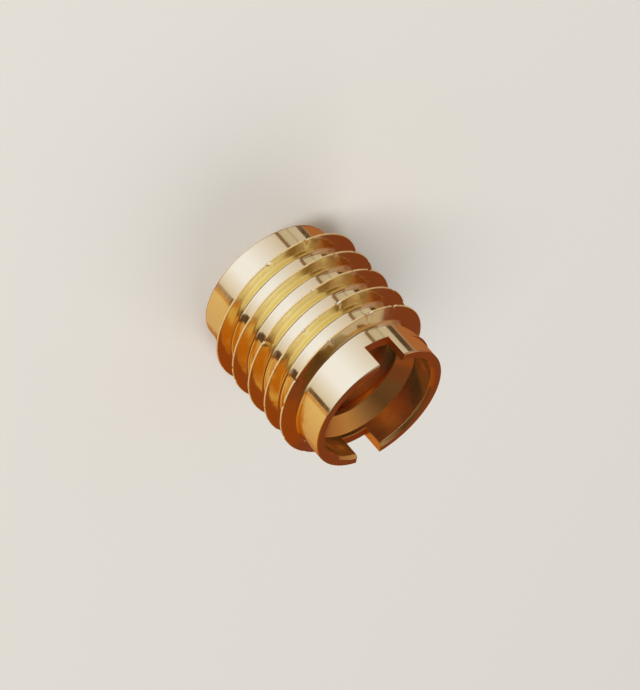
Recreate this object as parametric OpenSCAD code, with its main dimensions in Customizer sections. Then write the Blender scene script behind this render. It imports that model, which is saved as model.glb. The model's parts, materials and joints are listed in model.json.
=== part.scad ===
// Knife-thread insert for wood, turned in one piece from brass bar.
// Outside it has a plain core with a sharp right-handed ridge wound round it, which cuts
// its own way into a drilled hole in wood. Inside it is tapped right through for a machine
// screw. One end is counterbored and slotted for the driver, and the other is plain.
// Lengths are in millimetres. +Z runs along the axis, the plain end sits on z = 0, and the
// driver slot runs along X.

/* [Body] */
// Length from the plain end to the slotted rim
body_length = 12.7; // [10:0.1:20]
// Thickness of the thin wall round the counterbore, which sets the diameter of the core
rim_wall = 0.75; // [0.5:0.05:1.5]
// Edge break round the outside of both ends
edge_break = 0.1; // [0.05:0.05:0.3]

/* [Knife thread] */
// Height of the ridge above the core
ridge_height = 1; // [0.5:0.05:1.5]
// Width of the narrow land left along the crest of the ridge
crest_land = 0.1; // [0.05:0.05:0.3]
// Included angle between the two flanks of the ridge
ridge_angle = 41; // [30:1:60]
// Axial advance of the ridge in one turn
ridge_pitch = 1.8; // [1.4:0.1:3]
// Length of plain core between the plain end and the start of the ridge
lead_length = 0.9; // [0.6:0.1:2]
// Length of plain core between the end of the ridge and the slotted rim
rim_length = 1.6; // [1:0.1:3]
// Turn angle over which the ridge rises out of the core, and later sinks back into it
fade_angle = 165; // [60:5:300]
// Direction in which the ridge starts, as an angle from the slot
start_angle = -86; // [-180:1:180]

/* [Screw hole] */
// Nominal diameter of the machine screw, measured over its thread
screw_diameter = 7.94; // [5:0.01:10]
// Depth of the internal thread, from its crests to its roots
tap_depth = 0.67; // [0.4:0.01:1]
// Axial advance of the internal thread in one turn
tap_pitch = 1.411; // [1.2:0.001:2]
// Included angle of the internal thread's groove, less than a screw's 60 degrees: the hole
// then keeps more wall than groove, and its radius can be measured
tap_angle = 36; // [20:1:45]
// Direction in which the internal thread crosses the plain end, as an angle from the slot
tap_direction = -146; // [-180:1:180]
// Turn angle over which the internal thread grows shallow under the counterbore
tap_fade_angle = 90; // [30:5:180]
// Radial clearance of the entry cone round the screw at the plain end
entry_clearance = 0.1; // [0:0.05:0.3]
// Included angle of the entry cones at both ends of the tapped length
entry_angle = 90; // [60:5:120]

/* [Driving end] */
// Radial clearance between the screw and the counterbore
counterbore_clearance = 0.28; // [0.1:0.02:0.6]
// Depth of the cylindrical part of the counterbore
counterbore_depth = 2; // [1:0.1:3]
// Bevel round the mouth of the counterbore
mouth_bevel = 0.2; // [0.05:0.05:0.4]
// Width of the driver slot
slot_width = 1.95; // [1:0.05:3]
// Depth of the driver slot
slot_depth = 1.7; // [0.8:0.1:2.5]

/* [Hidden] */
brass = "#d8b25a";

hole_radius = screw_diameter / 2 - tap_depth;
entry_radius = screw_diameter / 2 + entry_clearance;
counterbore_radius = screw_diameter / 2 + counterbore_clearance;
core_radius = counterbore_radius + rim_wall;
entry_slope = 1 / tan(entry_angle / 2);

// The ridge is rooted half way into the rim wall, so that it and the core are one piece
ridge_root = rim_wall / 2;
ridge_slope = tan(ridge_angle / 2);
ridge_turns = (body_length - lead_length - rim_length) / ridge_pitch;
ridge_sweep = 360 * ridge_turns;
// Where the ridge begins and ends, its crest lies this far under the surface of the core
ridge_sink = 0.05;
ridge_rings_per_turn = 72;
ridge_rings = ceil(ridge_turns * ridge_rings_per_turn);

// The groove starts half a turn below the plain end and runs out in the upper cone. The
// section that cuts it reaches this far inside the wall of the hole
tap_reach = 0.1;
tap_slope = tan(tap_angle / 2);
tap_root_width = tap_pitch / 8;
tap_end = body_length - counterbore_depth - tap_pitch / 4;
tap_turns = tap_end / tap_pitch + 0.5;
tap_sweep = 360 * tap_turns;
tap_rings_per_turn = 48;
tap_rings = ceil(tap_turns * tap_rings_per_turn);

section_corners = 4;
overshoot = 1;
$fn = 144;

// Half section of the turned blank: a row of [radius, height] corners that goes up the
// outside, over the slotted rim, down the counterbore and its cone, and down the hole
blank_outline = [
    [entry_radius, 0],
    [core_radius - edge_break, 0],
    [core_radius, edge_break],
    [core_radius, body_length - edge_break],
    [core_radius - edge_break, body_length],
    [counterbore_radius + mouth_bevel, body_length],
    [counterbore_radius, body_length - mouth_bevel],
    [counterbore_radius, body_length - counterbore_depth],
    [hole_radius, body_length - counterbore_depth - (counterbore_radius - hole_radius) * entry_slope],
    [hole_radius, (entry_radius - hole_radius) * entry_slope]
];

// Height of the crest above the core, at an angle counted from the start of the ridge
function crest_height(turned) =
    let (rise = min(1, turned / fade_angle, (ridge_sweep - turned) / fade_angle))
    (ridge_height + ridge_sink) * rise - ridge_sink;

// Corners given as [radius, height], placed in one direction from the axis
function placed(corners, direction) =
    [for (c = corners) [c[0] * cos(direction), c[0] * sin(direction), c[1]]];

// One cross-section of the ridge: foot and crest on its lower flank, then on its upper one
function ridge_section(turned) =
    let (
        height = crest_height(turned),
        foot = crest_land / 2 + (height + ridge_root) * ridge_slope,
        middle = lead_length + ridge_pitch * turned / 360
    )
    placed([
        [core_radius - ridge_root, middle - foot],
        [core_radius + height, middle - crest_land / 2],
        [core_radius + height, middle + crest_land / 2],
        [core_radius - ridge_root, middle + foot]
    ], start_angle + turned);

// One cross-section of the tap's groove: mouth and root on its lower flank, then on its
// upper one. The whole section draws in towards the axis where the groove runs out
function groove_section(turned) =
    let (
        section_depth = tap_depth + tap_reach,
        fade = min(1, (tap_sweep - turned) / tap_fade_angle),
        root = hole_radius - tap_reach + section_depth * fade,
        half_mouth = tap_root_width / 2 + section_depth * tap_slope,
        middle = tap_pitch * (turned / 360 - 0.5)
    )
    placed([
        [root - section_depth, middle - half_mouth],
        [root, middle - tap_root_width / 2],
        [root, middle + tap_root_width / 2],
        [root - section_depth, middle + half_mouth]
    ], tap_direction - 180 + turned);

// Two triangles that join one side of a cross-section to the same side of the next one
function side_faces(ring, side) =
    let (
        near = section_corners * ring,
        far = near + section_corners,
        next = (side + 1) % section_corners
    )
    [[near + side, near + next, far + next], [near + side, far + next, far + side]];

// Closed body through a row of cross-sections
module swept_body(sections) {
    last = section_corners * (len(sections) - 1);
    polyhedron(
        points = [for (section = sections) each section],
        faces = [
            [3, 2, 1, 0],
            for (ring = [0 : len(sections) - 2], side = [0 : section_corners - 1])
                each side_faces(ring, side),
            [last, last + 1, last + 2, last + 3]
        ]
    );
}

module knife_ridge() {
    swept_body([for (i = [0 : ridge_rings]) ridge_section(ridge_sweep * i / ridge_rings)]);
}

module tap_groove() {
    swept_body([for (i = [0 : tap_rings]) groove_section(tap_sweep * i / tap_rings)]);
}

module turned_blank() {
    rotate_extrude() polygon(blank_outline);
}

module driver_slot() {
    slot_length = 2 * (core_radius + ridge_height + overshoot);
    translate([-slot_length / 2, -slot_width / 2, body_length - slot_depth])
        cube([slot_length, slot_width, slot_depth + overshoot]);
}

module insert() {
    color(brass) difference() {
        union() {
            turned_blank();
            knife_ridge();
        }
        tap_groove();
        driver_slot();
    }
}

insert();
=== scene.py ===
# %% [markdown]
# # A brass knife-thread insert for wood
# The real object is a small sleeve turned from brass bar. A sharp ridge wound round its
# outside cuts its own way into a drilled hole in wood, and a machine screw then holds in the
# tapped hole through its middle. One end is counterbored and slotted for a wide flat driver.
# The construction model of it is already here, so this lesson makes the finished piece that
# takes its place: the same sizes, with softened edges, a full-width internal thread, tool
# marks and the small nicks that so thin an edge picks up.

import json
import math

import bmesh
import bpy
from mathutils import Matrix, Vector

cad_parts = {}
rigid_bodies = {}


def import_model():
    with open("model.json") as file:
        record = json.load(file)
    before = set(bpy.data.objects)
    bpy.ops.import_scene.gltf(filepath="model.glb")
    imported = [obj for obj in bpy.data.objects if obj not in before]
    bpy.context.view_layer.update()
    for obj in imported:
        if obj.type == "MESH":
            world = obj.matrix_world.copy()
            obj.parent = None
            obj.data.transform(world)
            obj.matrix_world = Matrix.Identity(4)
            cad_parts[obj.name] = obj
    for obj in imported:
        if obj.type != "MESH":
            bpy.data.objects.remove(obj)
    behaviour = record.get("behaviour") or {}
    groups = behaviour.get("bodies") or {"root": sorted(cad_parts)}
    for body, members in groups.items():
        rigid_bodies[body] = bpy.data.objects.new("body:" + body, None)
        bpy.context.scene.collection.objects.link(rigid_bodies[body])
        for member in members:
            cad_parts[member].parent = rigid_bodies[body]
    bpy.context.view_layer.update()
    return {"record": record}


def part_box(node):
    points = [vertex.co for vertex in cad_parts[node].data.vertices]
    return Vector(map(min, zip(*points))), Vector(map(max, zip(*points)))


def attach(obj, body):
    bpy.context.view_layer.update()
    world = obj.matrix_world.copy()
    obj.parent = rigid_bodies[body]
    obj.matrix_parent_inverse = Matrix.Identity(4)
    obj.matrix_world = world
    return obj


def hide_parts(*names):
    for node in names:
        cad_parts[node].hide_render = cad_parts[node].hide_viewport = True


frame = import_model()
MM = 0.001

# %% [markdown]
# ## Sizes
# The length, the widest radius and the hole come from the construction model, so the piece
# always fits the space that the model keeps for it. The others are what a maker would read
# off a drawing. Blender's tools are happiest with sizes near one, so the meshes are made
# with one Blender unit to the millimetre, and the finished piece is scaled down to metres.

# %% Sizes in millimetres
insert_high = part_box("insert")[1] / MM
screw_hole = next(m for m in frame["record"]["mounts"] if m["name"] == "screw_hole")
body_length = round(insert_high.z, 3)
crest_radius = round(insert_high.x, 2)
hole_radius = screw_hole["dims"]["r_mm"]
core_radius = 5.0
counterbore_radius = 4.25
counterbore_depth = 2.0
entry_radius = 4.07
ridge_pitch = 1.8
slot_width = 1.95
slot_depth = 1.7
print(f"length {body_length}, over the ridge {2 * crest_radius}, hole {2 * hole_radius} mm")

# %% [markdown]
# ## One helper for every node
# Geometry Nodes and materials are both trees of nodes. This helper adds one node, sets its
# properties, and fills its sockets either with plain values or with the outputs of others.

# %% Helper for node trees
MATH = "ShaderNodeMath"
VECTOR_MATH = "ShaderNodeVectorMath"
MAP_RANGE = "ShaderNodeMapRange"
NOISE = "ShaderNodeTexNoise"


def add_node(tree, kind, sockets=None, **settings):
    """One new node; a value may be a plain one, a node's output or a node with one output."""
    node = tree.nodes.new(kind)
    for name, value in settings.items():
        setattr(node, name, value)
    for key, value in (sockets or {}).items():
        if isinstance(value, bpy.types.Node):
            value = value.outputs[0]
        if isinstance(value, bpy.types.NodeSocket):
            tree.links.new(value, node.inputs[key])
        else:
            node.inputs[key].default_value = value
    return node


# %% [markdown]
# ## The turned blank
# On the lathe the whole inside, both end faces and their corners are one outline turned
# round the axis, so here they are a row of [radius, height] corners that is spun. No turned
# corner is perfectly sharp, and the small radius of each one is what catches the light. Each
# corner is therefore drawn as a short arc, with one more point just outside either end of it
# that keeps the faces beside it shading flat. The outer wall is left open, because the
# ridged skin of the next step closes it.

# %% Outline with softened corners
SUPPORT = 0.2  # how far past an arc its extra point lies, as a share of the arc's radius


def soften(corners, arc_step=12):
    """corners are (radius, height, corner radius); the first and the last are plain ends."""
    outline = [Vector(corners[0][:2])]
    for before, corner, after in zip(corners, corners[1:], corners[2:]):
        at = Vector(corner[:2])
        back = (Vector(before[:2]) - at).normalized()
        on = (Vector(after[:2]) - at).normalized()
        bend = math.pi - back.angle(on)
        tangent = corner[2] * math.tan(bend / 2)
        centre = at + (back + on).normalized() * corner[2] / math.cos(bend / 2)
        support = tangent + SUPPORT * corner[2]
        outline.append(at + back * support)
        steps = max(2, round(math.degrees(bend) / arc_step))
        start = at + back * tangent - centre
        end = at + on * tangent - centre
        for i in range(steps + 1):
            share = i / steps
            arm = start * math.sin((1 - share) * bend) + end * math.sin(share * bend)
            outline.append(centre + arm / math.sin(bend))
        outline.append(at + on * support)
    outline.append(Vector(corners[-1][:2]))
    return outline


edge_break = 0.1  # corner radius round both ends of the core
end_margin = 0.16  # from either end to the edge of the ridged skin
mouth_bevel = 0.2
tool_nose = 0.04  # corner radius that the turning tool leaves
cone_depth = counterbore_radius - hole_radius
outline_corners = [
    (core_radius, body_length - end_margin, 0),
    (core_radius, body_length, edge_break),
    (counterbore_radius + mouth_bevel, body_length, 1.5 * tool_nose),
    (counterbore_radius, body_length - mouth_bevel, 3.5 * tool_nose),
    (counterbore_radius, body_length - counterbore_depth, 0.25 * tool_nose),
    (hole_radius, body_length - counterbore_depth - cone_depth, 2.5 * tool_nose),
    (hole_radius, entry_radius - hole_radius, tool_nose),
    (entry_radius, 0, tool_nose),
    (core_radius, 0, edge_break),
    (core_radius, end_margin, 0),
]
blank_outline = soften(outline_corners)
print("blank outline:", len(blank_outline), "points")

# %% [markdown]
# The outline is spun in steps of one degree. The ridged skin has its columns of points at the
# same angles, counted from the one at which the ridge starts, so that the two meet point by
# point at their edges.

# %% Spin the outline round the axis
COLUMNS = 360
start_angle = math.radians(-86)

blank = bmesh.new()
start_cosine = math.cos(start_angle)
start_sine = math.sin(start_angle)
row = [blank.verts.new((p.x * start_cosine, p.x * start_sine, p.y)) for p in blank_outline]
edges = [blank.edges.new(pair) for pair in zip(row, row[1:])]
bmesh.ops.spin(
    blank,
    geom=row + edges,
    axis=(0, 0, 1),
    cent=(0, 0, 0),
    angle=math.tau,
    steps=COLUMNS,
    use_merge=True,
)
bmesh.ops.remove_doubles(blank, verts=blank.verts, dist=1e-4)
blank_mesh = bpy.data.meshes.new("turned_blank")
blank.to_mesh(blank_mesh)
blank.free()
print("turned blank:", len(blank_mesh.polygons), "faces")

# %% [markdown]
# ## The ridged skin
# The knife thread follows a rule, so Geometry Nodes make it. Half of its section is drawn
# once, as a row of points from the middle of the crest to half way to the next turn: the
# narrow land of the crest, its shoulder, the straight flank, the fillet at its foot, and the
# root. A point says with weights how it moves when the ridge grows: with the land, the
# height, the shoulder, the fillet or the gap between turns. The tree then makes a long grid
# with a row for each point and a column for each degree, and winds it round the core. Each
# turn meets the next along the middle of the root, and the ridge rises out of the core and
# sinks back into it at the two ends, with its crest still sharp, as on the real one.

# %% Half section of the ridge, as weights
half_angle = math.radians(20.5)
foot_turn = math.pi / 2 - half_angle
foot_tangent = math.tan(foot_turn / 2)
foot_support = foot_tangent + SUPPORT
foot_steps = 4

# land, height, fillet | shoulder, gap, slack | up: height, shoulder, fillet | nick
section_rows = [
    ((0, 0, 0), (0, 0, 0), (1, 0, 0), 1),
    ((1, 0, 0), (0, 0, 1), (1, 0, 0), 1),
    ((1, 0, 0), (1, 0, 2), (1, -1, 0), 0),
    (
        (1, 1, -foot_support * math.sin(half_angle)),
        (0, 0, 3),
        (0, 0, foot_support * math.cos(half_angle)),
        0,
    ),
]
for i in range(foot_steps + 1):
    arm = math.pi + half_angle + foot_turn * i / foot_steps
    weights = (1, 1, foot_tangent + math.cos(arm))
    section_rows.append((weights, (0, 0, 4 + i), (0, 0, 1 + math.sin(arm)), 0))
section_rows.append(((1, 1, foot_support), (0, 0, 5 + foot_steps), (0, 0, 0), 0))
section_rows.append(((0, 0, 0), (0, 1, 0), (0, 0, 0), 0))

section_mesh = bpy.data.meshes.new("ridge_section")
section_mesh.from_pydata([(i, 0, 0) for i in range(len(section_rows))], [], [])
for column, name in enumerate(("along", "along_more", "up")):
    stored = section_mesh.attributes.new(name, "FLOAT_VECTOR", "POINT")
    for point, values in enumerate(section_rows):
        stored.data[point].vector = values[column]
stored = section_mesh.attributes.new("nick", "FLOAT", "POINT")
for point, values in enumerate(section_rows):
    stored.data[point].value = values[3]
print("half section:", len(section_rows), "points")

# %% [markdown]
# The tree's sizes are named inputs, in millimetres. Angles that count along the helix are in
# degrees, as a full turn is then a round number, and the other two are in radians, as the
# nodes want them. The tree ends by giving its faces the brass, so that material is made here,
# and its own nodes are added further down.

# %% Named inputs of the ridged skin
brass = bpy.data.materials.new("free_cutting_brass_turned_bright")
brass.use_nodes = True
ridge_sizes = {
    "Core radius": core_radius,
    "Ridge height": crest_radius - core_radius,
    "Crest land": 0.1,
    "Flank angle": half_angle,
    "Foot fillet": 0.22,
    "Crest shoulder": 0.12,
    "Pitch": ridge_pitch,
    "Lead length": 0.9,
    "Rim length": 1.6,
    "Body length": body_length,
    "Fade angle": 165.0,
    "Start angle": start_angle,
    "End margin": end_margin,
    "Nick depth": 0.045,
}
skin_tree = bpy.data.node_groups.new("knife_thread_skin", "GeometryNodeTree")
skin_tree.interface.new_socket("Section", in_out="INPUT", socket_type="NodeSocketGeometry")
for name in ridge_sizes:
    skin_tree.interface.new_socket(name, in_out="INPUT", socket_type="NodeSocketFloat")
skin_tree.interface.new_socket("Skin", in_out="OUTPUT", socket_type="NodeSocketGeometry")
size = add_node(skin_tree, "NodeGroupInput").outputs
print("ridged skin:", len(ridge_sizes), "named sizes")

# %% [markdown]
# The grid starts one turn below the ridge and goes on past the ridge's end, so that it covers
# the whole core. A point's number in it says which row it is in, which side of the crest that
# is, and how far round the axis its column has come.

# %% Rows and columns of the grid
TURNS_BEYOND = 2.2  # turns of the grid beyond those that the body's length holds
crest_row = len(section_rows) - 1
rows = 2 * crest_row + 1
columns = round(COLUMNS * (body_length / ridge_pitch + TURNS_BEYOND))
grid = add_node(skin_tree, "GeometryNodeMeshGrid", {"Vertices X": columns, "Vertices Y": rows})
index = add_node(skin_tree, "GeometryNodeInputIndex")
grid_row = add_node(skin_tree, MATH, {0: index, 1: rows}, operation="MODULO")
side = add_node(skin_tree, MATH, {0: grid_row, 1: crest_row}, operation="SUBTRACT")
step = add_node(skin_tree, MATH, {0: side}, operation="ABSOLUTE")
sign = add_node(skin_tree, MATH, {0: side}, operation="SIGN")
column = add_node(skin_tree, MATH, {0: index, 1: rows}, operation="DIVIDE")
column = add_node(skin_tree, MATH, {0: column}, operation="FLOOR")
turned = add_node(
    skin_tree, MATH, {0: column, 1: 360 / COLUMNS, 2: -360}, operation="MULTIPLY_ADD"
)
print("grid:", columns, "columns of", rows, "points")

# %% [markdown]
# The ridge rises evenly from its start and sinks evenly to its end, and the two ramps meet
# in a flat top at full height. Both ramps begin a little below the core, so that the first
# degrees stay plain. Shoulder and fillet shrink with the ridge, and where there is no ridge a
# little slack keeps the rows of the grid apart on the plain core.

# %% Height of the ridge along its helix
RAMP_START = -0.05
SHOULDER_SHARE = 0.3  # the most of the ridge's height that its shoulder takes up
FILLET_SHARE = 0.5
SLACK = 0.008
SLACK_GONE = 0.15  # height of the ridge from which no slack is needed
ridge_length = add_node(
    skin_tree, MATH, {0: size["Body length"], 1: size["Lead length"]}, operation="SUBTRACT"
)
ridge_length = add_node(
    skin_tree, MATH, {0: ridge_length, 1: size["Rim length"]}, operation="SUBTRACT"
)
sweep = add_node(skin_tree, MATH, {0: ridge_length, 1: size["Pitch"]}, operation="DIVIDE")
to_end = add_node(skin_tree, MATH, {0: sweep, 1: 360}, operation="MULTIPLY")
to_end = add_node(skin_tree, MATH, {0: to_end, 1: turned}, operation="SUBTRACT")
nearest_end = add_node(skin_tree, MATH, {0: turned, 1: to_end}, operation="MINIMUM")
height = add_node(
    skin_tree,
    MAP_RANGE,
    {
        "Value": nearest_end,
        "From Max": size["Fade angle"],
        "To Min": RAMP_START,
        "To Max": size["Ridge height"],
    },
)
height = add_node(skin_tree, MATH, {0: height, 1: 0}, operation="MAXIMUM")
most_shoulder = add_node(skin_tree, MATH, {0: height, 1: SHOULDER_SHARE}, operation="MULTIPLY")
shoulder = add_node(
    skin_tree, MATH, {0: most_shoulder, 1: size["Crest shoulder"]}, operation="MINIMUM"
)
most_fillet = add_node(skin_tree, MATH, {0: height, 1: FILLET_SHARE}, operation="MULTIPLY")
fillet = add_node(skin_tree, MATH, {0: most_fillet, 1: size["Foot fillet"]}, operation="MINIMUM")
slack = add_node(
    skin_tree,
    MAP_RANGE,
    {"Value": height, "From Max": SLACK_GONE, "To Min": SLACK, "To Max": 0},
)

# %% [markdown]
# Each point of the grid now looks up its weights in the half section, and dot products of
# vectors give how far it lies from the crest along the axis and above the core.

# %% Place of each point in the section
slope = add_node(skin_tree, MATH, {0: size["Flank angle"]}, operation="TANGENT")
run = add_node(skin_tree, MATH, {0: height, 1: slope}, operation="MULTIPLY")
shoulder_run = add_node(skin_tree, MATH, {0: shoulder, 1: slope}, operation="MULTIPLY")
half_land = add_node(skin_tree, MATH, {0: size["Crest land"], 1: 0.5}, operation="MULTIPLY")
half_pitch = add_node(skin_tree, MATH, {0: size["Pitch"], 1: 0.5}, operation="MULTIPLY")
measures = {
    "along": {"X": half_land, "Y": run, "Z": fillet},
    "along_more": {"X": shoulder_run, "Y": half_pitch, "Z": slack},
    "up": {"X": height, "Y": shoulder, "Z": fillet},
}
reach = {}
for name, parts in measures.items():
    attribute = add_node(
        skin_tree, "GeometryNodeInputNamedAttribute", {"Name": name}, data_type="FLOAT_VECTOR"
    )
    looked_up = add_node(
        skin_tree,
        "GeometryNodeSampleIndex",
        {"Geometry": size["Section"], "Value": attribute, "Index": step},
        data_type="FLOAT_VECTOR",
    )
    vector = add_node(skin_tree, "ShaderNodeCombineXYZ", parts)
    dot = add_node(skin_tree, VECTOR_MATH, {0: looked_up, 1: vector}, operation="DOT_PRODUCT")
    reach[name] = dot.outputs["Value"]
offset = add_node(skin_tree, MATH, {0: reach["along"], 1: reach["along_more"]}, operation="ADD")

# %% [markdown]
# A knife edge this thin is never clean. A noise along the helix lowers the crest by
# hundredths of a millimetre, and where a second, slower noise peaks, the dip is several
# times as deep: a nick. A noise gives the same value at the same place, so the nicks are the
# same each time the script runs.

# %% Nicks along the crest
WAVES_PER_MM = 1.6
NICKS_PER_MM = 0.9
NICK_FROM = 0.66
NICK_FULL = 0.78
arc_length = add_node(skin_tree, MATH, {0: turned}, operation="RADIANS")
arc_length = add_node(skin_tree, MATH, {0: arc_length, 1: crest_radius}, operation="MULTIPLY")
wear = add_node(
    skin_tree,
    NOISE,
    {"W": arc_length, "Scale": WAVES_PER_MM, "Detail": 2.0},
    noise_dimensions="1D",
)
dip = add_node(
    skin_tree,
    NOISE,
    {"W": arc_length, "Scale": NICKS_PER_MM, "Detail": 1.0},
    noise_dimensions="1D",
)
dip = add_node(
    skin_tree,
    MAP_RANGE,
    {"Value": dip, "From Min": NICK_FROM, "From Max": NICK_FULL, "To Max": 2},
)
nick = add_node(skin_tree, MATH, {0: wear, 1: dip}, operation="ADD")
nick = add_node(skin_tree, MATH, {0: nick, 1: size["Nick depth"]}, operation="MULTIPLY")
attribute = add_node(
    skin_tree, "GeometryNodeInputNamedAttribute", {"Name": "nick"}, data_type="FLOAT"
)
nick_share = add_node(
    skin_tree,
    "GeometryNodeSampleIndex",
    {"Geometry": size["Section"], "Value": attribute, "Index": step},
)
nick = add_node(skin_tree, MATH, {0: nick, 1: nick_share}, operation="MULTIPLY")
nick = add_node(skin_tree, MATH, {0: most_shoulder, 1: nick}, operation="MINIMUM")
above_core = add_node(skin_tree, MATH, {0: reach["up"], 1: nick}, operation="SUBTRACT")

# %% [markdown]
# Last, every point is put on the helix. Its level is that of the crest there, plus or minus
# its offset, and it is held between the two ends of the skin. The turns of the grid that lie
# wholly past an end fold flat on to its edge, where the welding takes them away.

# %% Wind the grid round the core
advance = add_node(skin_tree, MATH, {0: turned, 1: 360}, operation="DIVIDE")
crest_level = add_node(
    skin_tree,
    MATH,
    {0: advance, 1: size["Pitch"], 2: size["Lead length"]},
    operation="MULTIPLY_ADD",
)
level = add_node(skin_tree, MATH, {0: sign, 1: offset, 2: crest_level}, operation="MULTIPLY_ADD")
highest = add_node(
    skin_tree, MATH, {0: size["Body length"], 1: size["End margin"]}, operation="SUBTRACT"
)
level = add_node(
    skin_tree, "ShaderNodeClamp", {"Value": level, "Min": size["End margin"], "Max": highest}
)
heading = add_node(skin_tree, MATH, {0: turned}, operation="RADIANS")
heading = add_node(skin_tree, MATH, {0: heading, 1: size["Start angle"]}, operation="ADD")
radius = add_node(skin_tree, MATH, {0: above_core, 1: size["Core radius"]}, operation="ADD")
cosine = add_node(skin_tree, MATH, {0: heading}, operation="COSINE")
sine = add_node(skin_tree, MATH, {0: heading}, operation="SINE")
on_helix = add_node(
    skin_tree,
    "ShaderNodeCombineXYZ",
    {
        "X": add_node(skin_tree, MATH, {0: radius, 1: cosine}, operation="MULTIPLY"),
        "Y": add_node(skin_tree, MATH, {0: radius, 1: sine}, operation="MULTIPLY"),
        "Z": level,
    },
)
wound = add_node(skin_tree, "GeometryNodeSetPosition", {"Geometry": grid, "Position": on_helix})
welded = add_node(skin_tree, "GeometryNodeMergeByDistance", {"Geometry": wound, "Distance": 1e-3})
skin = add_node(skin_tree, "GeometryNodeRealizeInstances", {"Geometry": welded})
skin = add_node(skin_tree, "GeometryNodeSetMaterial", {"Geometry": skin, "Material": brass})
add_node(skin_tree, "NodeGroupOutput", {"Skin": skin})
print("knife thread tree:", len(skin_tree.nodes), "nodes")

# %% [markdown]
# A tree only works as the modifier of some object. A passing one serves here: its evaluated
# mesh is kept as a plain mesh, and the object is thrown away with its modifier.


# %% Run a tree and keep its mesh
def built_by(tree, values, start_mesh):
    """The mesh that the tree makes from start_mesh, with its inputs set by identifier."""
    maker = bpy.data.objects.new(tree.name, start_mesh)
    bpy.context.scene.collection.objects.link(maker)
    modifier = maker.modifiers.new(tree.name, "NODES")
    modifier.node_group = tree
    for item in tree.interface.items_tree:
        if item.in_out == "INPUT" and item.name in values:
            modifier[item.identifier] = values[item.name]
    evaluated = maker.evaluated_get(bpy.context.evaluated_depsgraph_get())
    mesh = bpy.data.meshes.new_from_object(evaluated)
    bpy.data.objects.remove(maker)
    return mesh


skin_mesh = built_by(skin_tree, ridge_sizes, section_mesh)
print("ridged skin:", len(skin_mesh.polygons), "faces")

# %% [markdown]
# ## Tools that cut the blank
# The internal thread suits a 5/16-18 machine screw. Its groove is a trapezoid swept along a
# helix: a spiral curve with the trapezoid as its profile gives the shape of the metal that
# the tap takes out, and the body is later cut with it. The sweep starts below the plain end,
# and its section reaches into the open hole, so that no thin skin of metal is left standing.

# %% Named inputs of the internal thread
THREADS_PER_INCH = 18
THREAD_ANGLE = math.radians(60)
INTO_HOLE = 0.3  # how far the cutter reaches into the open hole
screw_diameter = 7.94
screw_radius = screw_diameter / 2
tap_pitch = 25.4 / THREADS_PER_INCH
tap_sizes = {
    "Pitch": tap_pitch,
    "Turns": 7.93,
    "Start level": -0.84,
    "Run-out": 0.35,
    "Root radius": screw_radius,
    "Depth": screw_radius - hole_radius + INTO_HOLE,
    "Root width": tap_pitch / 8,
}
tap_tree = bpy.data.node_groups.new("internal_thread_cutter", "GeometryNodeTree")
for name in tap_sizes:
    tap_tree.interface.new_socket(name, in_out="INPUT", socket_type="NodeSocketFloat")
tap_tree.interface.new_socket("Cutter", in_out="OUTPUT", socket_type="NodeSocketGeometry")
size = add_node(tap_tree, "NodeGroupInput").outputs
print(f"internal thread: {tap_pitch:.3f} mm pitch, {screw_radius} mm to its root")

# %% [markdown]
# The curve runs along the middle of the groove's depth. Near its upper end it draws in
# towards the axis, so that the groove grows shallow and is gone before it reaches the cone
# under the counterbore.

# %% Spiral that the groove follows
STEPS_PER_TURN = 144
DRAWN_IN = 0.78  # share of the radius that is left at the upper end
groove_middle = add_node(
    tap_tree, MATH, {0: size["Depth"], 1: -0.5, 2: size["Root radius"]}, operation="MULTIPLY_ADD"
)
tap_length = add_node(tap_tree, MATH, {0: size["Pitch"], 1: size["Turns"]}, operation="MULTIPLY")
spiral = add_node(
    tap_tree,
    "GeometryNodeCurveSpiral",
    {
        "Resolution": STEPS_PER_TURN,
        "Rotations": size["Turns"],
        "Start Radius": groove_middle,
        "End Radius": groove_middle,
        "Height": tap_length,
        "Reverse": True,
    },
)
spiral_place = add_node(tap_tree, "GeometryNodeInputPosition")
at = add_node(tap_tree, "ShaderNodeSeparateXYZ", {0: spiral_place}).outputs
run_out = add_node(tap_tree, MATH, {0: tap_length, 1: size["Run-out"]}, operation="SUBTRACT")
draw_in = add_node(
    tap_tree,
    MAP_RANGE,
    {
        "Value": at["Z"],
        "From Min": run_out,
        "From Max": tap_length,
        "To Min": 1,
        "To Max": DRAWN_IN,
    },
)
drawn = add_node(
    tap_tree,
    "ShaderNodeCombineXYZ",
    {
        "X": add_node(tap_tree, MATH, {0: at["X"], 1: draw_in}, operation="MULTIPLY"),
        "Y": add_node(tap_tree, MATH, {0: at["Y"], 1: draw_in}, operation="MULTIPLY"),
        "Z": at["Z"],
    },
)
spiral = add_node(tap_tree, "GeometryNodeSetPosition", {"Geometry": spiral, "Position": drawn})
upright = add_node(tap_tree, "GeometryNodeSetCurveNormal", {"Curve": spiral}, mode="Z_UP")

# %% Sweep the section of the groove
mouth_width = add_node(
    tap_tree,
    MATH,
    {0: size["Depth"], 1: 2 * math.tan(THREAD_ANGLE / 2), 2: size["Root width"]},
    operation="MULTIPLY_ADD",
)
profile = add_node(
    tap_tree,
    "GeometryNodeCurvePrimitiveQuadrilateral",
    {
        "Height": size["Depth"],
        "Bottom Width": mouth_width,
        "Top Width": size["Root width"],
        "Offset": 0.0,
    },
    mode="TRAPEZOID",
)
profile = add_node(
    tap_tree,
    "GeometryNodeTransform",
    {"Geometry": profile, "Rotation": (0, 0, -math.pi / 2)},
)
swept = add_node(
    tap_tree,
    "GeometryNodeCurveToMesh",
    {"Curve": upright, "Profile Curve": profile, "Fill Caps": True},
)
start_place = add_node(tap_tree, "ShaderNodeCombineXYZ", {"Z": size["Start level"]})
groove = add_node(
    tap_tree, "GeometryNodeTransform", {"Geometry": swept, "Translation": start_place}
)
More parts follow.
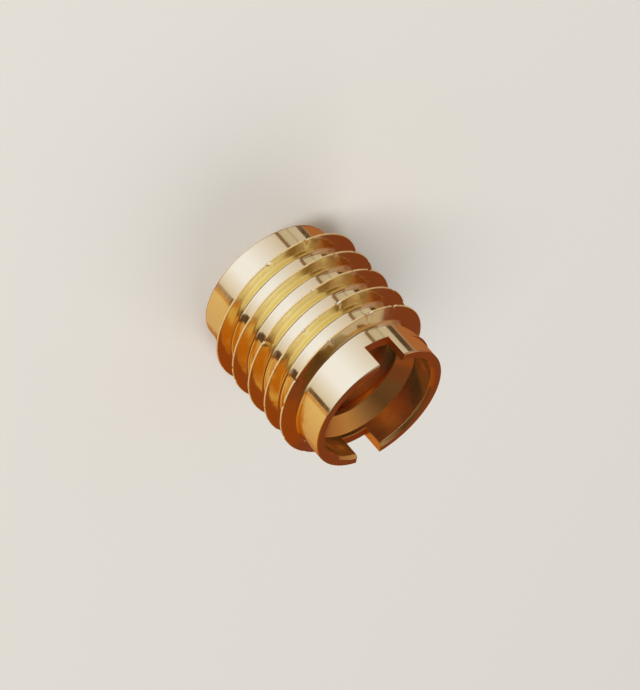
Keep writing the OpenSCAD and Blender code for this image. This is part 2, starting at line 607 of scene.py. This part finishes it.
groove = add_node(tap_tree, "GeometryNodeRealizeInstances", {"Geometry": groove})
groove = add_node(tap_tree, "GeometryNodeSetMaterial", {"Geometry": groove, "Material": brass})
add_node(tap_tree, "NodeGroupOutput", {"Cutter": groove})
tap_mesh = built_by(tap_tree, tap_sizes, bpy.data.meshes.new("tap_start"))
print("internal thread cutter:", len(tap_mesh.polygons), "faces")

# %% [markdown]
# The driver slot is milled straight across the rim. Its cutter is one notch for each side of
# the rim: a channel whose outline is drawn on cylinders of growing radius. Where the notch
# leaves the inner and the outer wall, and along the rim, the outline flares by a few
# hundredths of a millimetre. That breaks every edge of the slot by the same small amount.

# %% Outline of the driver slot
edge_flare = 0.035
beyond = 0.04
above_rim = 0.5
slot_inner_end = 3.2
slot_outer_end = 6.8
slot_stations = [
    # radius, and how much wider than the slot the outline is there
    (slot_inner_end, edge_flare + beyond),
    (counterbore_radius - beyond, edge_flare + beyond),
    (counterbore_radius + edge_flare, 0),
    (core_radius - edge_flare, 0),
    (core_radius + beyond, edge_flare + beyond),
    (slot_outer_end, edge_flare + beyond),
]
slot_floor = body_length - slot_depth
slot_bottom_points = 13


def notch_outline(widening):
    """Points (y, z) of the notch from one upper corner down, across its floor and up again."""
    half = slot_width / 2 + widening
    rim_kink = body_length - edge_flare + widening
    flared = (half + above_rim + edge_flare, rim_kink + above_rim + edge_flare)
    open_top = [flared, (half, rim_kink)]
    bottom = [
        (half - 2 * half * i / (slot_bottom_points - 1), slot_floor - widening)
        for i in range(slot_bottom_points)
    ]
    return open_top + bottom + [(-y, z) for y, z in reversed(open_top)]


print("slot outline:", len(notch_outline(0)), "points at each of", len(slot_stations), "radii")

# %% Cutter of the driver slot
slot_cutter = bmesh.new()
last_station = len(slot_stations) - 1
for way in (1, -1):
    outlines = []
    for station, (station_radius, widening) in enumerate(slot_stations):
        flat_end = station in (0, last_station)
        outline = []
        for y, z in notch_outline(widening):
            x = station_radius if flat_end else math.sqrt(station_radius**2 - y**2)
            outline.append(slot_cutter.verts.new((way * x, way * y, z)))
        outlines.append(outline)
    corners = len(outlines[0])
    for near, far in zip(outlines, outlines[1:]):
        for i in range(corners):
            j = (i + 1) % corners
            slot_cutter.faces.new((near[i], near[j], far[j], far[i]))
    slot_cutter.faces.new(reversed(outlines[0]))
    slot_cutter.faces.new(outlines[-1])
bmesh.ops.recalc_face_normals(slot_cutter, faces=slot_cutter.faces)
slot_mesh = bpy.data.meshes.new("driver_slot_cutter")
slot_cutter.to_mesh(slot_mesh)
slot_cutter.free()
print("slot cutter:", len(slot_mesh.polygons), "faces")

# %% [markdown]
# ## One solid piece
# Blank and skin share the same circles of points, so welding them closes the body. The two
# cutters are then taken out of it with exact Boolean operations, in the order in which the
# real part is made: tapped first, slotted last.

# %% Weld the blank and its skin
body = bmesh.new()
body.from_mesh(blank_mesh)
body.from_mesh(skin_mesh)
bmesh.ops.remove_doubles(body, verts=body.verts, dist=2e-4)
bmesh.ops.recalc_face_normals(body, faces=body.faces)
body_mesh = bpy.data.meshes.new("brass_insert")
body.to_mesh(body_mesh)
body.free()
print("welded body:", len(body_mesh.polygons), "faces")

# %% Tap and slot
insert = bpy.data.objects.new("brass_insert", body_mesh)
bpy.context.scene.collection.objects.link(insert)
cutters = []
for name, mesh in (("tap", tap_mesh), ("slot", slot_mesh)):
    cutter = bpy.data.objects.new(name, mesh)
    bpy.context.scene.collection.objects.link(cutter)
    cut = insert.modifiers.new(name, "BOOLEAN")
    cut.object = cutter
    cut.operation = "DIFFERENCE"
    cut.solver = "EXACT"
    cutters.append(cutter)
evaluated = insert.evaluated_get(bpy.context.evaluated_depsgraph_get())
insert_mesh = bpy.data.meshes.new_from_object(evaluated)
insert.modifiers.clear()
insert.data = insert_mesh
for cutter in cutters:
    bpy.data.objects.remove(cutter)
print("after the cuts:", len(insert_mesh.polygons), "faces")

# %% [markdown]
# The cuts leave points in the middle of an edge between two faces, where both faces could
# later be split along the same line, and a few slivers shorter than a thousandth of a
# millimetre. Both are dissolved, and every edge then has to lie between exactly two faces.

# %% Clean up after the cuts
SLIVER = 0.001
cleaned = bmesh.new()
cleaned.from_mesh(insert_mesh)
middles = [vert for vert in cleaned.verts if len(vert.link_edges) == 2]
bmesh.ops.dissolve_verts(cleaned, verts=middles)
bmesh.ops.dissolve_degenerate(cleaned, dist=SLIVER, edges=cleaned.edges)
cleaned.to_mesh(insert_mesh)
open_edges = sum(len(edge.link_faces) != 2 for edge in cleaned.edges)
cleaned.free()
print("insert:", len(insert_mesh.polygons), "faces,", open_edges, "open edges")

# %% [markdown]
# Shading is smooth across the fine steps of every round surface and breaks at real edges.
# The piece is then scaled down to metres, with its place in the mesh and its object at the
# origin, so that it lies exactly where the construction model does.

# %% Shading and scale
SHARP_FROM = math.radians(28)
insert_mesh.shade_smooth()
insert_mesh.set_sharp_from_angle(angle=SHARP_FROM)
insert_mesh.transform(Matrix.Scale(MM, 4))
print("insert:", round(max(v.co.z for v in insert_mesh.vertices), 5), "m high")

# %% [markdown]
# ## Camera
# The camera looks down on the slotted rim from well to one side, and is rolled so that the
# insert's axis falls to the lower right of the picture. Its three axes are built from the
# azimuth and the elevation of the view and from the way that the insert's axis points.

# %% Camera
view_azimuth = math.radians(-146.31)
view_elevation = math.radians(28.37)
axis_right = 0.66413
axis_up = -0.74762
camera_distance = 0.2361
aim_left = 0.187 * MM
camera_data = bpy.data.cameras.new("camera")
camera_data.lens = 187.44
camera_data.sensor_width = 36
camera_data.clip_start = 0.01
camera_data.clip_end = 10
camera = bpy.data.objects.new("camera", camera_data)
bpy.context.scene.collection.objects.link(camera)
bpy.context.scene.camera = camera

back = Vector(
    (
        math.cos(view_elevation) * math.cos(view_azimuth),
        math.cos(view_elevation) * math.sin(view_azimuth),
        math.sin(view_elevation),
    )
)
rise = (Vector((0, 0, 1)) - back * back.z).normalized()
aside = back.cross(rise)
right = axis_right * rise - axis_up * aside
up = axis_up * rise + axis_right * aside
aim = Vector((0, 0, body_length / 2 * MM)) - right * aim_left
facing = Matrix((right, up, back)).transposed().to_4x4()
camera.matrix_world = Matrix.Translation(aim + back * camera_distance) @ facing
print("camera:", camera_distance, "m away,", camera_data.lens, "mm lens")

# %% [markdown]
# ## Brass
# Free-cutting brass, turned and left bright, is a mirror with a warm tint: it takes out
# blue, so white light comes back pale gold and light that bounces twice between two flanks
# comes back deep yellow. The lathe leaves rings a few hundredths of a millimetre apart round
# the axis, the knife flanks are cut less smoothly than the core, and handling leaves a
# faint unevenness on top. One material covers the whole piece, because it is one piece of
# metal, and masks made from the distance to the axis tell its finishes apart. Masks also
# darken the hollows with painted shade and lighten the crest with a painted highlight.


# %% Colours as sRGB hex values
def from_hex(code):
    """A linear colour from an sRGB hex value."""
    channels = [int(code[i : i + 2], 16) / 255 for i in (1, 3, 5)]
    return (
        *(c / 12.92 if c <= 0.04045 else ((c + 0.055) / 1.055) ** 2.4 for c in channels),
        1.0,
    )


# %% Places on the brass
tree = brass.node_tree
tree.nodes.clear()
object_place = add_node(tree, "ShaderNodeTexCoord").outputs["Object"]
axes = add_node(tree, "ShaderNodeSeparateXYZ", {0: object_place}).outputs
flat_place = add_node(
    tree, VECTOR_MATH, {0: object_place, 1: (1, 1, 0)}, operation="MULTIPLY"
)
from_axis = add_node(tree, VECTOR_MATH, {0: flat_place}, operation="LENGTH").outputs["Value"]

mask_ranges = [
    # radii in mm at which the mask is 0 and at which it is 1
    (core_radius, core_radius + 0.06),
    (crest_radius - 0.07, crest_radius - 0.03),
    (counterbore_radius + 0.06, counterbore_radius + 0.01),
]
on_flank, on_crest, inside = (
    add_node(tree, MAP_RANGE, {"Value": from_axis, "From Min": off * MM, "From Max": full * MM})
    for off, full in mask_ranges
)

slot_reach = slot_width / 2 + 0.045
slot_bottom = slot_floor - 0.03
across_slot = add_node(tree, MATH, {0: axes["Y"]}, operation="ABSOLUTE")
in_slot = add_node(tree, MATH, {0: across_slot, 1: slot_reach * MM}, operation="LESS_THAN")
above_floor = add_node(
    tree, MATH, {0: axes["Z"], 1: slot_bottom * MM}, operation="GREATER_THAN"
)
in_slot = add_node(tree, MATH, {0: in_slot, 1: above_floor}, operation="MULTIPLY")

# %% [markdown]
# The rings follow height on the round surfaces and distance from the axis on the flat ones,
# so a sum of the two, counted in ring spacings, drives a noise that hardly changes along the
# cut. Its second octave has the spacing of the rings, and its first is a slower swell. A
# second, softer noise stands for the unevenness from the tool and from handling.

# %% Tool rings and unevenness
RING_SPACING = 0.07 * MM
RING_DEPTH = 0.0015 * MM
WAVE_LENGTH = 0.6 * MM
WAVE_DEPTH = 0.0025 * MM
AROUND = 0.02  # how much a ring changes round the axis, against how much it does across
CLOSER_ON_FLATS = 1.3
DEEPER_ON_FLANKS = 0.6
WAVES_INSIDE = 0.2
ring_count = add_node(
    tree, MATH, {0: from_axis, 1: CLOSER_ON_FLATS, 2: axes["Z"]}, operation="MULTIPLY_ADD"
)
ring_place = add_node(
    tree,
    "ShaderNodeCombineXYZ",
    {
        "X": add_node(tree, MATH, {0: axes["X"], 1: AROUND}, operation="MULTIPLY"),
        "Y": add_node(tree, MATH, {0: axes["Y"], 1: AROUND}, operation="MULTIPLY"),
        "Z": ring_count,
    },
)
rings = add_node(
    tree,
    NOISE,
    {"Vector": ring_place, "Scale": 0.5 / RING_SPACING, "Detail": 2.0, "Roughness": 0.6},
)
ring_height = add_node(
    tree, MATH, {0: on_flank, 1: DEEPER_ON_FLANKS, 2: 1.0}, operation="MULTIPLY_ADD"
)
ring_height = add_node(tree, MATH, {0: ring_height, 1: rings}, operation="MULTIPLY")
bump = add_node(
    tree, "ShaderNodeBump", {"Strength": 0.35, "Distance": RING_DEPTH, "Height": ring_height}
)
unevenness = add_node(
    tree, NOISE, {"Vector": object_place, "Scale": 1 / WAVE_LENGTH, "Detail": 3.0}
)
wave_share = add_node(tree, MATH, {0: 1 + WAVES_INSIDE, 1: inside}, operation="SUBTRACT")
soft_waves = add_node(tree, MATH, {0: unevenness, 1: wave_share}, operation="MULTIPLY")
bump = add_node(
    tree,
    "ShaderNodeBump",
    {"Strength": 0.3, "Distance": WAVE_DEPTH, "Height": soft_waves, "Normal": bump},
)
print("brass rings", RING_SPACING / MM, "mm apart")

# %% [markdown]
# On the crest, where the tool has left no more than a thin edge of metal, a coarse grain
# stands for the burr. A few fine scratches come from noise that is stretched along two
# directions. A real scratch is thinner than these, which are as wide as they need to be to
# show at all.

# %% Burr and scratches
GRAIN_SIZE = 0.09 * MM
BURR_DEPTH = 0.07 * MM
SCRATCH_LENGTH = 0.9 * MM
SCRATCH_WIDTH = 0.035 * MM
SCRATCH_DEPTH = 0.0025 * MM
SCRATCH_FROM = 0.72
SCRATCH_FULL = 0.78
grain = add_node(
    tree, NOISE, {"Vector": object_place, "Scale": 1 / GRAIN_SIZE, "Detail": 2.0}
)
burr = add_node(tree, MATH, {0: grain, 1: on_crest}, operation="MULTIPLY")
bump = add_node(
    tree,
    "ShaderNodeBump",
    {"Strength": 1.0, "Distance": BURR_DEPTH, "Height": burr, "Normal": bump},
)
for lean in (35, -20):
    along_scratch = add_node(
        tree,
        "ShaderNodeMapping",
        {
            "Vector": object_place,
            "Rotation": (math.radians(lean), math.radians(2 * lean), math.radians(20)),
            "Scale": (1 / SCRATCH_LENGTH, 1 / SCRATCH_LENGTH, 1 / SCRATCH_WIDTH),
        },
    )
    scratch = add_node(tree, NOISE, {"Vector": along_scratch, "Scale": 1.0, "Detail": 0.0})
    scratch = add_node(
        tree,
        MAP_RANGE,
        {
            "Value": scratch,
            "From Min": SCRATCH_FROM,
            "From Max": SCRATCH_FULL,
            "To Min": 1,
            "To Max": 0,
        },
    )
    scratch = add_node(tree, MATH, {0: scratch, 1: inside}, operation="MAXIMUM")
    bump = add_node(
        tree,
        "ShaderNodeBump",
        {"Strength": 0.2, "Distance": SCRATCH_DEPTH, "Height": scratch, "Normal": bump},
    )
print("burr grain", round(GRAIN_SIZE / MM, 3), "mm, scratches", SCRATCH_LENGTH / MM, "mm long")

# %% [markdown]
# The core is the smoothest surface, with a roughness of about a tenth. The flanks are cut by
# the side of the tool and are rougher. The burred crest is rougher still and scatters much of
# its light, and a paler colour on it is a painted highlight, so it shows as a line of pale
# gold whatever it mirrors. The inside and the slot take a darker, browner colour, which is
# painted shade in these hollows. The inside also scatters a little light, and the slot is
# rougher from the marks of the cutter.

# %% Roughness and colour
bare_brass = from_hex("#F8EAAB")
# The darker, browner colour is painted shade for the inside and the slot.
recess_shade_brass = from_hex("#ECC47C")
# The paler colour of the crest is a painted highlight.
crest_highlight_brass = from_hex("#FFE29A")
SMOOTHEST = 0.07
ROUGHEST_BARE = 0.11
SCATTERED_INSIDE = 0.04
SCATTERED_ON_CREST = 0.5
rougher_by = [(on_flank, 0.05), (on_crest, 0.42), (inside, 0.09), (in_slot, 0.2)]
roughness = add_node(
    tree,
    MAP_RANGE,
    {
        "Value": unevenness,
        "From Min": 0.3,
        "From Max": 0.7,
        "To Min": SMOOTHEST,
        "To Max": ROUGHEST_BARE,
    },
)
for mask, more in rougher_by:
    roughness = add_node(tree, MATH, {0: mask, 1: more, 2: roughness}, operation="MULTIPLY_ADD")
# Painted shade: the inside and the slot take the darker colour.
painted_recess_shade = add_node(tree, MATH, {0: inside, 1: in_slot}, operation="MAXIMUM")
tint = add_node(
    tree, "ShaderNodeMix", {0: painted_recess_shade, 6: bare_brass, 7: recess_shade_brass}, data_type="RGBA"
)
# Painted highlight: the crest takes the paler colour.
tint = add_node(
    tree,
    "ShaderNodeMix",
    {0: on_crest, 6: tint.outputs[2], 7: crest_highlight_brass},
    data_type="RGBA",
)
metallic = add_node(
    tree, MATH, {0: inside, 1: -SCATTERED_INSIDE, 2: 1.0}, operation="MULTIPLY_ADD"
)
metallic = add_node(
    tree, MATH, {0: on_crest, 1: -SCATTERED_ON_CREST, 2: metallic}, operation="MULTIPLY_ADD"
)
surface = add_node(
    tree,
    "ShaderNodeBsdfPrincipled",
    {"Base Color": tint.outputs[2], "Metallic": metallic, "Roughness": roughness, "Normal": bump},
)
add_node(tree, "ShaderNodeOutputMaterial", {"Surface": surface})
insert_mesh.materials.clear()
insert_mesh.materials.append(brass)
print("brass:", len(tree.nodes), "nodes")

# %% [markdown]
# ## Floor, light and background
# The insert stands on a plain pale floor under two large soft lamps, at a level at which a
# white card would look white and nothing brighter. The world fills the shadows. To the
# camera it is nearly white, and to everything else half as bright.

# %% Floor
FLOOR_HALF = 0.6
floor_mesh = bpy.data.meshes.new("floor")
floor_corners = [(-1, -1), (1, -1), (1, 1), (-1, 1)]
floor_mesh.from_pydata(
    [(x * FLOOR_HALF, y * FLOOR_HALF, 0) for x, y in floor_corners], [], [(0, 1, 2, 3)]
)
floor = bpy.data.objects.new("floor", floor_mesh)
bpy.context.scene.collection.objects.link(floor)
paper = bpy.data.materials.new("matt_paper")
paper.use_nodes = True
paper_surface = paper.node_tree.nodes["Principled BSDF"]
paper_surface.inputs["Base Color"].default_value = from_hex("#DEDAD3")
paper_surface.inputs["Roughness"].default_value = 0.9
floor_mesh.materials.append(paper)
floor.visible_glossy = False

# %% Lamps and world
lamps = [
    # name, place and width in metres, watts
    ("key_lamp", (-0.35, -0.45, 0.55), 0.45, 4.6),
    ("fill_lamp", (0.5, 0.25, 0.5), 0.5, 1.8),
]
for name, lamp_place, width, watts in lamps:
    lamp_data = bpy.data.lights.new(name, "AREA")
    lamp_data.size = width
    lamp_data.energy = watts
    lamp = bpy.data.objects.new(name, lamp_data)
    lamp.location = lamp_place
    lamp.rotation_mode = "QUATERNION"
    lamp.rotation_quaternion = (-Vector(lamp_place)).to_track_quat("-Z", "Y")
    lamp.visible_glossy = False
    bpy.context.scene.collection.objects.link(lamp)

world = bpy.data.worlds.new("pale_room")
world.use_nodes = True
world.node_tree.nodes.clear()
seen = add_node(world.node_tree, "ShaderNodeLightPath").outputs["Is Camera Ray"]
world_strength = add_node(
    world.node_tree, MAP_RANGE, {"Value": seen, "To Min": 0.5, "To Max": 1.0}
)
sky = add_node(
    world.node_tree,
    "ShaderNodeBackground",
    {"Color": from_hex("#E4E2DE"), "Strength": world_strength},
)
add_node(world.node_tree, "ShaderNodeOutputWorld", {"Surface": sky})
bpy.context.scene.world = world
bpy.context.scene.view_settings.view_transform = "Standard"
print("lamps:", ", ".join(name for name, *_ in lamps))

# %% [markdown]
# ## What the metal mirrors
# Polished metal has no colour of its own to show, only its surroundings, so they are built
# round it as cards, the way a photographer sets up panels. Only reflections see the cards. A
# card's colour runs from its west side to its east side, and its faces glow by themselves, so
# that no lamp has to light it.


# %% One card
def card(name, points, across, faces, west_colour, east_colour, strength):
    """A card that only reflections see; across is 0 at its west side and 1 at its east side."""
    mesh = bpy.data.meshes.new(name)
    mesh.from_pydata(points, [], faces)
    mesh.attributes.new("across", "FLOAT", "POINT").data.foreach_set("value", across)
    panel = bpy.data.objects.new(name, mesh)
    bpy.context.scene.collection.objects.link(panel)
    glow = bpy.data.materials.new(name)
    glow.use_nodes = True
    tree = glow.node_tree
    tree.nodes.clear()
    share = add_node(tree, "ShaderNodeAttribute", attribute_name="across").outputs["Fac"]
    colour = add_node(
        tree,
        "ShaderNodeMix",
        {0: share, 6: from_hex(west_colour), 7: from_hex(east_colour)},
        data_type="RGBA",
    )
    light = add_node(
        tree, "ShaderNodeEmission", {"Color": colour.outputs[2], "Strength": strength}
    )
    add_node(tree, "ShaderNodeOutputMaterial", {"Surface": light})
    glow.cycles.emission_sampling = "NONE"
    mesh.materials.append(glow)
    panel.visible_camera = False
    panel.visible_diffuse = False
    panel.visible_shadow = False
    panel.visible_transmission = False


# %% [markdown]
# Most cards are patches of a large ball, given by how far they reach round the insert,
# counted from the camera's side, and how high. A tall window faces the camera. Its daylight
# is cool enough to turn the yellow metal nearly white, and it fades towards both sides, so it
# is made of three cards side by side. A warm wooden table-top takes up the side away from
# it, and a dim ceiling and brown walls fill the rest. The floor is left out of the
# reflections, so that the cards below it count as well.

# %% Cards far from the insert
cards = [
    # name, from and to round the insert, from and to in height, both in degrees, colour at
    # the west and the east side, strength
    ("brown_walls", -180, 180, -90, 90, "#7B3E28", "#7B3E28", 1.0),
    ("orange_wall", 104, 158, 8, 56, "#8E4A18", "#90421A", 1.0),
    ("table_near", 66, 140, -80, 12, "#C87A1C", "#B46218", 1.0),
    ("table_far_east", 120, 180, -34, -20, "#D09E66", "#A66138", 1.0),
    ("table_far_west", -180, -112, -31, -25, "#A66138", "#AC6E4C", 1.0),
    ("table_lit", 64, 96, -31, -25.5, "#D2A070", "#C88C48", 1.0),
    ("bright_floor", 152, 208, -88, -44, "#FFF0D8", "#FFE0B0", 1.0),
    ("back_window", 155, 195, -17, -6, "#FFF4E4", "#F0D0A0", 1.2),
    ("shaded_side_west", -116, -84, -60, 14, "#A48480", "#AD90A0", 1.0),
    ("shaded_side_far", -130, -112, -9, 10, "#9A7470", "#9A7470", 1.0),
    ("shaded_side_east", -84, -58, -60, 28, "#7E5F48", "#7E5F48", 1.0),
    ("shaded_side_below", -135, -62, -80, -60, "#BCA4B4", "#A88C90", 1.0),
    ("upper_wall_west", -132, -84, 16, 62, "#A0684C", "#BC9870", 1.0),
    ("upper_wall_east", -84, -40, 25, 62, "#BC9870", "#8E6E56", 1.0),
    ("east_ceiling", 75, 110, 25, 80, "#6C3C24", "#6C3C24", 1.0),
    ("ceiling_west", -42, 15, 30, 88, "#8E6E56", "#523A2A", 1.0),
    ("ceiling_east", 15, 78, 30, 88, "#523A2A", "#64462E", 1.0),
    ("bright_ceiling", -168, -124, 42, 78, "#C8B6B6", "#B8A09A", 1.0),
    ("ceiling_edge", -124, -38, 62, 84, "#B4A8BC", "#8C7C84", 1.0),
    ("dark_frame", -112, -101, -31, -25, "#584438", "#4C3A30", 1.0),
    ("small_pane", -100, -66, -40, -18, "#C9BFCA", "#C2B6BE", 1.0),
    ("pane_bar", -84, -81, -40, -18, "#A89C9C", "#A89C9C", 1.0),
    ("window_frame", -64, 64, -79, 36, "#806458", "#AC948C", 1.0),
    # the dark strip by the window's east side is a painted reflection of shade
    ("frame_shadow", 57, 64, -27.8, -22, "#5A4138", "#5A4138", 1.0),
    ("window_west", -60, 0, -78, 30, "#A097A8", "#BCC1F4", 1.85),
    ("window_middle", 0, 24, -78, 30, "#BCC1F4", "#BCBFF0", 1.85),
    ("window_east", 24, 57, -78, 30, "#BCBFF0", "#A49AA4", 1.85),
]
print(len(cards), "cards far from the insert")

# %% [markdown]
# Each card lies a little nearer than the one before it in the list, so a later card hides
# what it covers of an earlier one. A card is a grid of small faces, because one flat face
# would cut through the ball.

# %% Put up the far cards
BALL_RADIUS = 0.6
LAYER_STEP = 0.015
FACE_DEGREES = 3
ball_centre = body_length / 2 * MM
for layer, (name, west, east, low, high, west_colour, east_colour, strength) in enumerate(cards):
    ball_radius = BALL_RADIUS * (1 - LAYER_STEP * layer)
    wide = max(2, round((east - west) / FACE_DEGREES))
    tall = max(2, round((high - low) / FACE_DEGREES))
    points = []
    across = []
    for i in range(wide + 1):
        azimuth = view_azimuth + math.radians(west + (east - west) * i / wide)
        for j in range(tall + 1):
            elevation = math.radians(low + (high - low) * j / tall)
            flat = ball_radius * math.cos(elevation)
            z = ball_radius * math.sin(elevation) + ball_centre
            points.append((flat * math.cos(azimuth), flat * math.sin(azimuth), z))
            across.append(i / wide)
    faces = []
    for i in range(wide):
        for j in range(tall):
            near = i * (tall + 1) + j
            far = near + tall + 1
            faces.append((near, near + 1, far + 1, far))
    card(name, points, across, faces, west_colour, east_colour, strength)

# %% [markdown]
# Four more cards stand close by, a few millimetres from the metal. What a near card adds
# depends on the height of the spot that mirrors it, so it can serve one band and spare the
# next. A dark post beside the window is a painted reflection of shade, and only the lowest
# band looks past its foot.
# Two strips of bright table-top serve the two plain ends, and a dark visor over the rim keeps
# the window out of the counterbore.

# %% Near cards
NEAR_FACE_DEGREES = 6
near_cards = [
    # name, distance in mm, from and to round the insert in degrees, from and to in height in
    # mm, colour at the west and the east side
    # the dark post is a painted reflection of shade
    ("shadow_post", 15, 47.8, 59.8, -4.3, 4.7, "#5A4138", "#5A4138"),
    ("dark_visor", 12, -75, 75, 14.8, 21.5, "#6A5040", "#6A5040"),
    ("table_strip_low", 15, 60, 124, -8.5, -4.4, "#DEBE94", "#D0AA84"),
    ("table_strip_high", 15, 60, 124, 4.9, 8, "#E2C096", "#CE9A68"),
]
for name, distance, west, east, foot, top, west_colour, east_colour in near_cards:
    wide = max(2, round((east - west) / NEAR_FACE_DEGREES))
    points = []
    across = []
    faces = []
    for i in range(wide + 1):
        azimuth = view_azimuth + math.radians(west + (east - west) * i / wide)
        for z in (foot, top):
            corner = (distance * math.cos(azimuth), distance * math.sin(azimuth), z)
            points.append([v * MM for v in corner])
            across.append(i / wide)
        if i:
            faces.append((2 * i - 2, 2 * i - 1, 2 * i + 1, 2 * i))
    card(name, points, across, faces, west_colour, east_colour, 1.0)
print(len(near_cards), "near cards round the insert")

# %% [markdown]
# ## Hand over
# The finished piece takes the construction solid's place, and rides on the one body.

# %% Hand over
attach(insert, "root")
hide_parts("insert")
